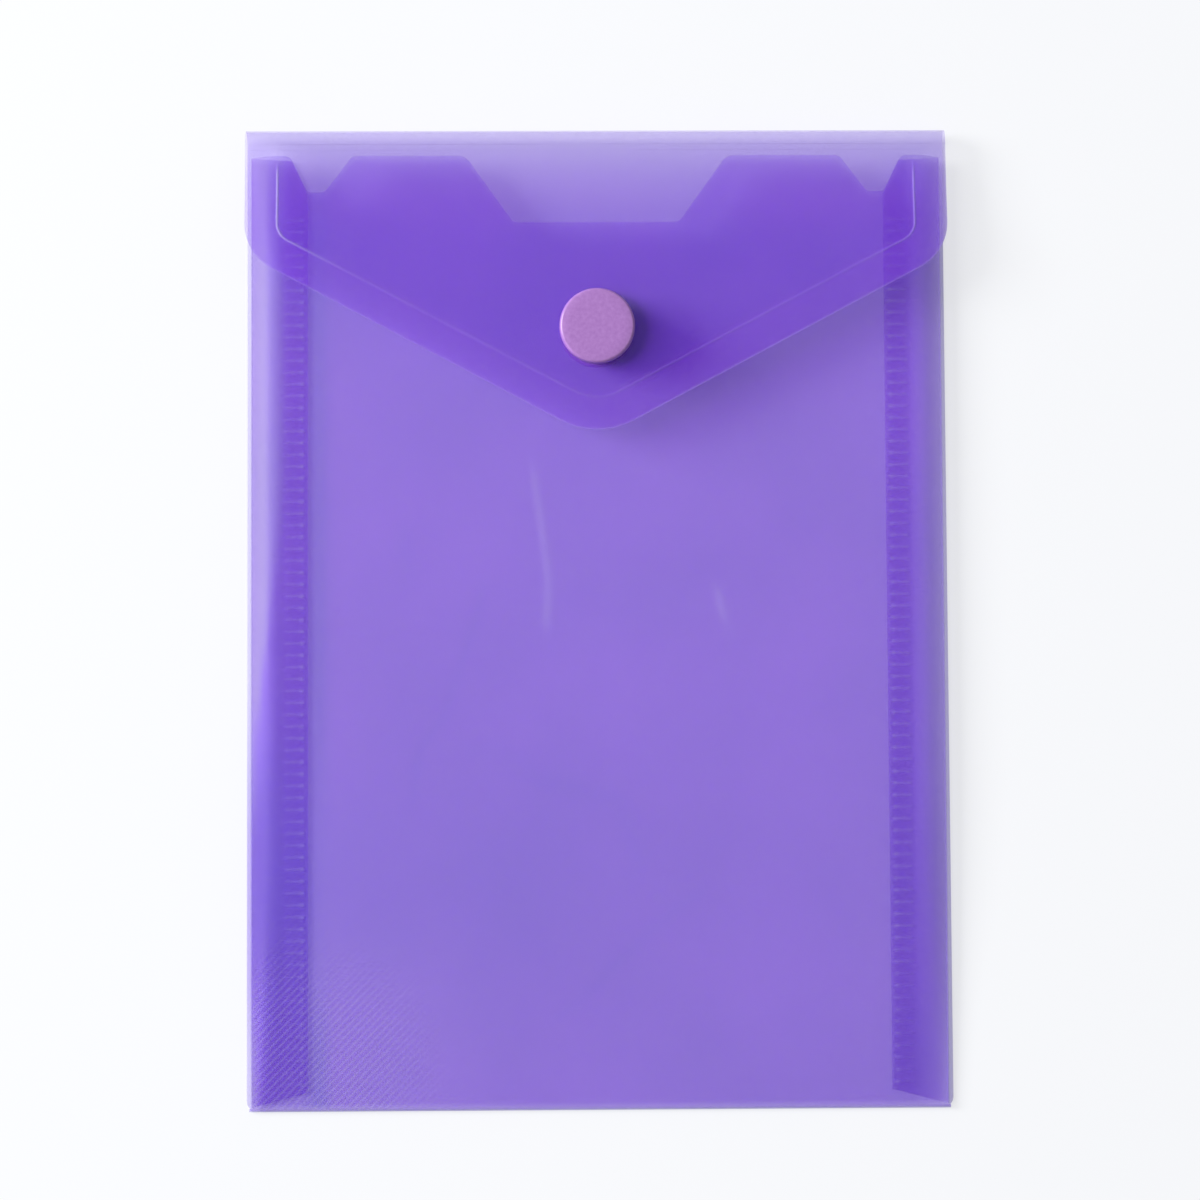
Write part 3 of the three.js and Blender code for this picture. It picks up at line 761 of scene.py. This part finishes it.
def frosted_film(name, alpha, dark, light):
    """Cast polypropylene film, violet pigment in a clear plastic, embossed with a fine matt texture, which
    shows as a grain of 0.4 mm. Where the attribute hatch is set, light lines 0.9 mm apart rise to the right,
    as left by a roller. The attribute pale turns the colour towards the white of the weld prints, roller
    lines and painted light and highlights, the grey attribute towards the grey of painted light, and deep
    towards DEEPEST, for painted shade and deeper colour."""
    material, tree, output = new_material(name)
    place = add(tree, "ShaderNodeTexCoord").outputs["Object"]
    cloud = add(tree, "ShaderNodeTexNoise", inputs={
        "Vector": place, "Scale": METRE / CLOUD_SIZE, "Detail": 3.0,
    })
    grain = add(tree, "ShaderNodeTexNoise", inputs={
        "Vector": place, "Scale": METRE / GRAIN_SIZE, "Detail": 2.0,
    })
    grain_share = 0.6
    both = {0: grain_share, 2: cloud.outputs["Fac"], 3: grain.outputs["Fac"]}
    uneven = add(tree, "ShaderNodeMix", {"data_type": "FLOAT"}, both)
    ramp = add(tree, "ShaderNodeValToRGB", inputs={"Fac": uneven.outputs[0]})
    set_ramp(ramp, dark, light)
    pale, dull, deep, hatch = (
        add(tree, "ShaderNodeAttribute", {"attribute_name": label}).outputs["Fac"]
        for label in ("pale", "dull", "deep", "hatch")
    )
    slanted = add(tree, "ShaderNodeMapping", inputs={
        "Vector": place, "Rotation": (0, 0, math.radians(45)),
    })
    lines = add(tree, "ShaderNodeTexWave", inputs={
        "Vector": slanted.outputs[0], "Scale": WAVE_PITCH * METRE / LINE_PITCH,
    })
    thinness, line_strength = 3.0, 0.28
    thin = add(tree, "ShaderNodeMath", {"operation": "POWER"}, {0: lines.outputs["Fac"], 1: thinness})
    faint = add(tree, "ShaderNodeMath", {"operation": "MULTIPLY"}, {0: thin.outputs[0], 1: line_strength})
    pale_and_lines = {0: hatch, 1: faint.outputs[0], 2: pale}
    pale = add(tree, "ShaderNodeMath", {"operation": "MULTIPLY_ADD"}, pale_and_lines).outputs[0]
    colour = ramp.outputs["Color"]
    for share, towards in ((deep, DEEPEST), (dull, GREY_OF_PAINTED_LIGHT), (pale, PRINT_WHITE_AND_PAINTED_LIGHT)):
        mixed = {0: share, 6: colour, 7: linear(towards)}
        colour = add(tree, "ShaderNodeMix", {"data_type": "RGBA"}, mixed).outputs[2]
    relief = add(tree, "ShaderNodeBump", inputs={
        "Strength": 0.9, "Distance": 0.06 / METRE, "Height": grain.outputs["Fac"],
    })
    shader = add(tree, "ShaderNodeBsdfPrincipled", inputs={
        "Roughness": 0.5, "IOR": 1.49, "Normal": relief.outputs["Normal"],
        "Base Color": colour, "Alpha": alpha,
    })
    tree.links.new(shader.outputs["BSDF"], output.inputs["Surface"])
    return material


def snap_plastic():
    """Acetal moulded in a polished tool: an opaque lilac with a soft sheen and a faint mottle."""
    material, tree, output = new_material("moulded_lilac_acetal")
    place = add(tree, "ShaderNodeTexCoord").outputs["Object"]
    mottle = add(tree, "ShaderNodeTexNoise", inputs={
        "Vector": place, "Scale": METRE / MOTTLE_SIZE, "Detail": 3.0,
    })
    ramp = add(tree, "ShaderNodeValToRGB", inputs={"Fac": mottle.outputs["Fac"]})
    set_ramp(ramp, "#A272B9", "#AE7FC4")
    relief = add(tree, "ShaderNodeBump", inputs={
        "Strength": 0.15, "Distance": 0.03 / METRE, "Height": mottle.outputs["Fac"],
    })
    shader = add(tree, "ShaderNodeBsdfPrincipled", inputs={
        "Roughness": 0.34, "IOR": 1.48, "Normal": relief.outputs["Normal"],
        "Base Color": ramp.outputs["Color"],
    })
    tree.links.new(shader.outputs["BSDF"], output.inputs["Surface"])
    return material


# Camera, light and table, with places in metres and angles in degrees

CAMERA_LENS, CAMERA_SENSOR = 112.33, 36.0
CAMERA_PLACE, CAMERA_TILT = (-0.01131, -0.03952, 0.600), (4.04, -1.09, -0.33)
LAMP_PLACE, LAMP_SIZE, LAMP_WATTS = (-1.865, 0.47, 1.15), 1.0, 76.0
ROOM_COLOUR, ROOM_STRENGTH = "#F8F9FE", 0.345
TABLE_COLOUR, TABLE_GLOW_COLOUR, TABLE_GLOW_SHARE = "#F4F5F8", "#F9FAFC", 0.6
TABLE_HALF, TABLE_LEVEL = 1500.0, -0.05


def photo_camera():
    """The photo's view: nearly straight down from 600 mm, leaning a little towards the bottom edge."""
    camera = bpy.data.cameras.new("photo_camera")
    camera.sensor_width = CAMERA_SENSOR
    camera.lens = CAMERA_LENS
    holder = bpy.data.objects.new("photo_camera", camera)
    holder.location = CAMERA_PLACE
    holder.rotation_euler = tuple(math.radians(angle) for angle in CAMERA_TILT)
    bpy.context.scene.collection.objects.link(holder)
    bpy.context.scene.camera = holder


def studio_light():
    """A wide soft lamp from the left and a little from the top, over an even pale surrounding."""
    lamp = bpy.data.lights.new("window_light", "AREA")
    lamp.shape = "RECTANGLE"
    lamp.size, lamp.size_y = LAMP_SIZE, LAMP_SIZE
    lamp.energy = LAMP_WATTS
    holder = bpy.data.objects.new("window_light", lamp)
    holder.location = LAMP_PLACE
    aim = -holder.location
    holder.rotation_euler = aim.to_track_quat("-Z", "Y").to_euler()
    bpy.context.scene.collection.objects.link(holder)
    world = bpy.data.worlds.new("pale_room")
    world.use_nodes = True
    background = world.node_tree.nodes["Background"]
    background.inputs["Color"].default_value = linear(ROOM_COLOUR)
    background.inputs["Strength"].default_value = ROOM_STRENGTH
    bpy.context.scene.world = world


def table():
    """A plain white table top, a hair below the film that lies on it. Seen directly or in a reflection it
    gives off part of its white by itself, which keeps the shadows on it as light as on a lit photo table.
    Under the film it is plain, so that the film darkens it."""
    corners = [(x * TABLE_HALF, y * TABLE_HALF, TABLE_LEVEL) for x, y in ((-1, -1), (1, -1), (1, 1), (-1, 1))]
    top = mesh_object("table_top", corners, [[0, 1, 2, 3]])
    material, tree, output = new_material("white_table")
    shader = add(tree, "ShaderNodeBsdfPrincipled", inputs={
        "Base Color": linear(TABLE_COLOUR), "Roughness": 0.9, "Specular IOR Level": 0.1,
    })
    path = add(tree, "ShaderNodeLightPath").outputs
    seen = path["Is Camera Ray"]
    for other in ("Is Glossy Ray", "Is Transmission Ray"):
        seen = add(tree, "ShaderNodeMath", {"operation": "MAXIMUM"}, {0: seen, 1: path[other]}).outputs[0]
    bare = add(tree, "ShaderNodeMath", {"operation": "LESS_THAN"}, {0: path["Transparent Depth"], 1: 0.5})
    seen_bare = add(tree, "ShaderNodeMath", {"operation": "MULTIPLY"}, {0: seen, 1: bare.outputs[0]})
    share = add(tree, "ShaderNodeMath", {"operation": "MULTIPLY"}, {
        0: seen_bare.outputs[0], 1: TABLE_GLOW_SHARE,
    })
    glow = add(tree, "ShaderNodeEmission", inputs={"Color": linear(TABLE_GLOW_COLOUR), "Strength": 1.0})
    mixed = add(tree, "ShaderNodeMixShader", inputs={
        0: share.outputs[0], 1: shader.outputs["BSDF"], 2: glow.outputs["Emission"],
    })
    tree.links.new(mixed.outputs["Shader"], output.inputs["Surface"])
    top.data.materials.append(material)


# Putting it together

def finish_piece(piece, material, slot, body, *nodes):
    """Gives a piece its material, hides the nodes that it stands for, and hangs it on the empty of the body
    that it rides on, unless that is None."""
    piece.data.materials.append(material)
    if body is not None:
        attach(piece, body)
    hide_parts(*nodes)
    return piece


def folded(piece):
    """Bakes a piece's placement into its mesh."""
    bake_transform(piece)


photo_camera()
studio_light()
table()
bpy.context.scene.view_settings.view_transform = "Standard"
# A ray passes many faces of film before it reaches the table, and more of them where it slants
bpy.context.scene.cycles.transparent_max_bounces = 64

film_material = frosted_film("frosted_violet_film", 0.215, "#742ADC", "#903FEC")
weld_material = frosted_film("fused_violet_film", 0.12, "#D8CEF4", "#E0D8FA")
lilac_material = snap_plastic()

finish_piece(back_film(), film_material, "film", "pocket_back", "back_panel")
front_nodes = ("front_panel", "left_side_fold", "right_side_fold")
finish_piece(front_film(), film_material, "film", "pocket_front", *front_nodes)
finish_piece(flap_film(), film_material, "film", "flap", "flap")

bottom = finish_piece(bottom_fold_film(), film_material, "film", None, "bottom_fold")
folded(bottom)

top = finish_piece(top_fold_film(), film_material, "film", None, "top_fold", "flap_root_fold")
folded(top)

for side, word in ((-1, "left"), (1, "right")):
    tab = finish_piece(tab_film(side, f"{word}_tab_film"), film_material, "film", None, f"{word}_gusset_tab")
    folded(tab)
    rungs = weld_rungs(side, f"{word}_weld_rungs")
    finish_piece(rungs, weld_material, "welded_film", "pocket_back", f"{word}_weld_seam")

flap_top = SOCKET_HIGH[2] + FILM
cap = turned_piece("snap_cap", cap_profile(CAP_HIGH[2] - flap_top, FILM + SOCKET_WEB), flap_top)
finish_piece(cap, lilac_material, "snap_plastic", "flap", "outer_snap_cap")
socket = turned_piece("socket", socket_profile(), SOCKET_HIGH[2])
finish_piece(socket, lilac_material, "snap_plastic", "flap", "snap_socket")
stud = turned_piece("stud", stud_profile(), STUD_LOW[2])
finish_piece(stud, lilac_material, "snap_plastic", "pocket_front", "snap_stud")
pocket_roof = FRONT_TOP - FILM
upright_profile = cap_profile(pocket_roof - INNER_CAP_LOW[2], FILM + STUD_WEB)
hanging_profile = [(radius, -height) for radius, height in upright_profile][::-1]
inner_cap = turned_piece("pocket_cap", hanging_profile, pocket_roof)
finish_piece(inner_cap, lilac_material, "snap_plastic", "pocket_front", "inner_snap_cap")
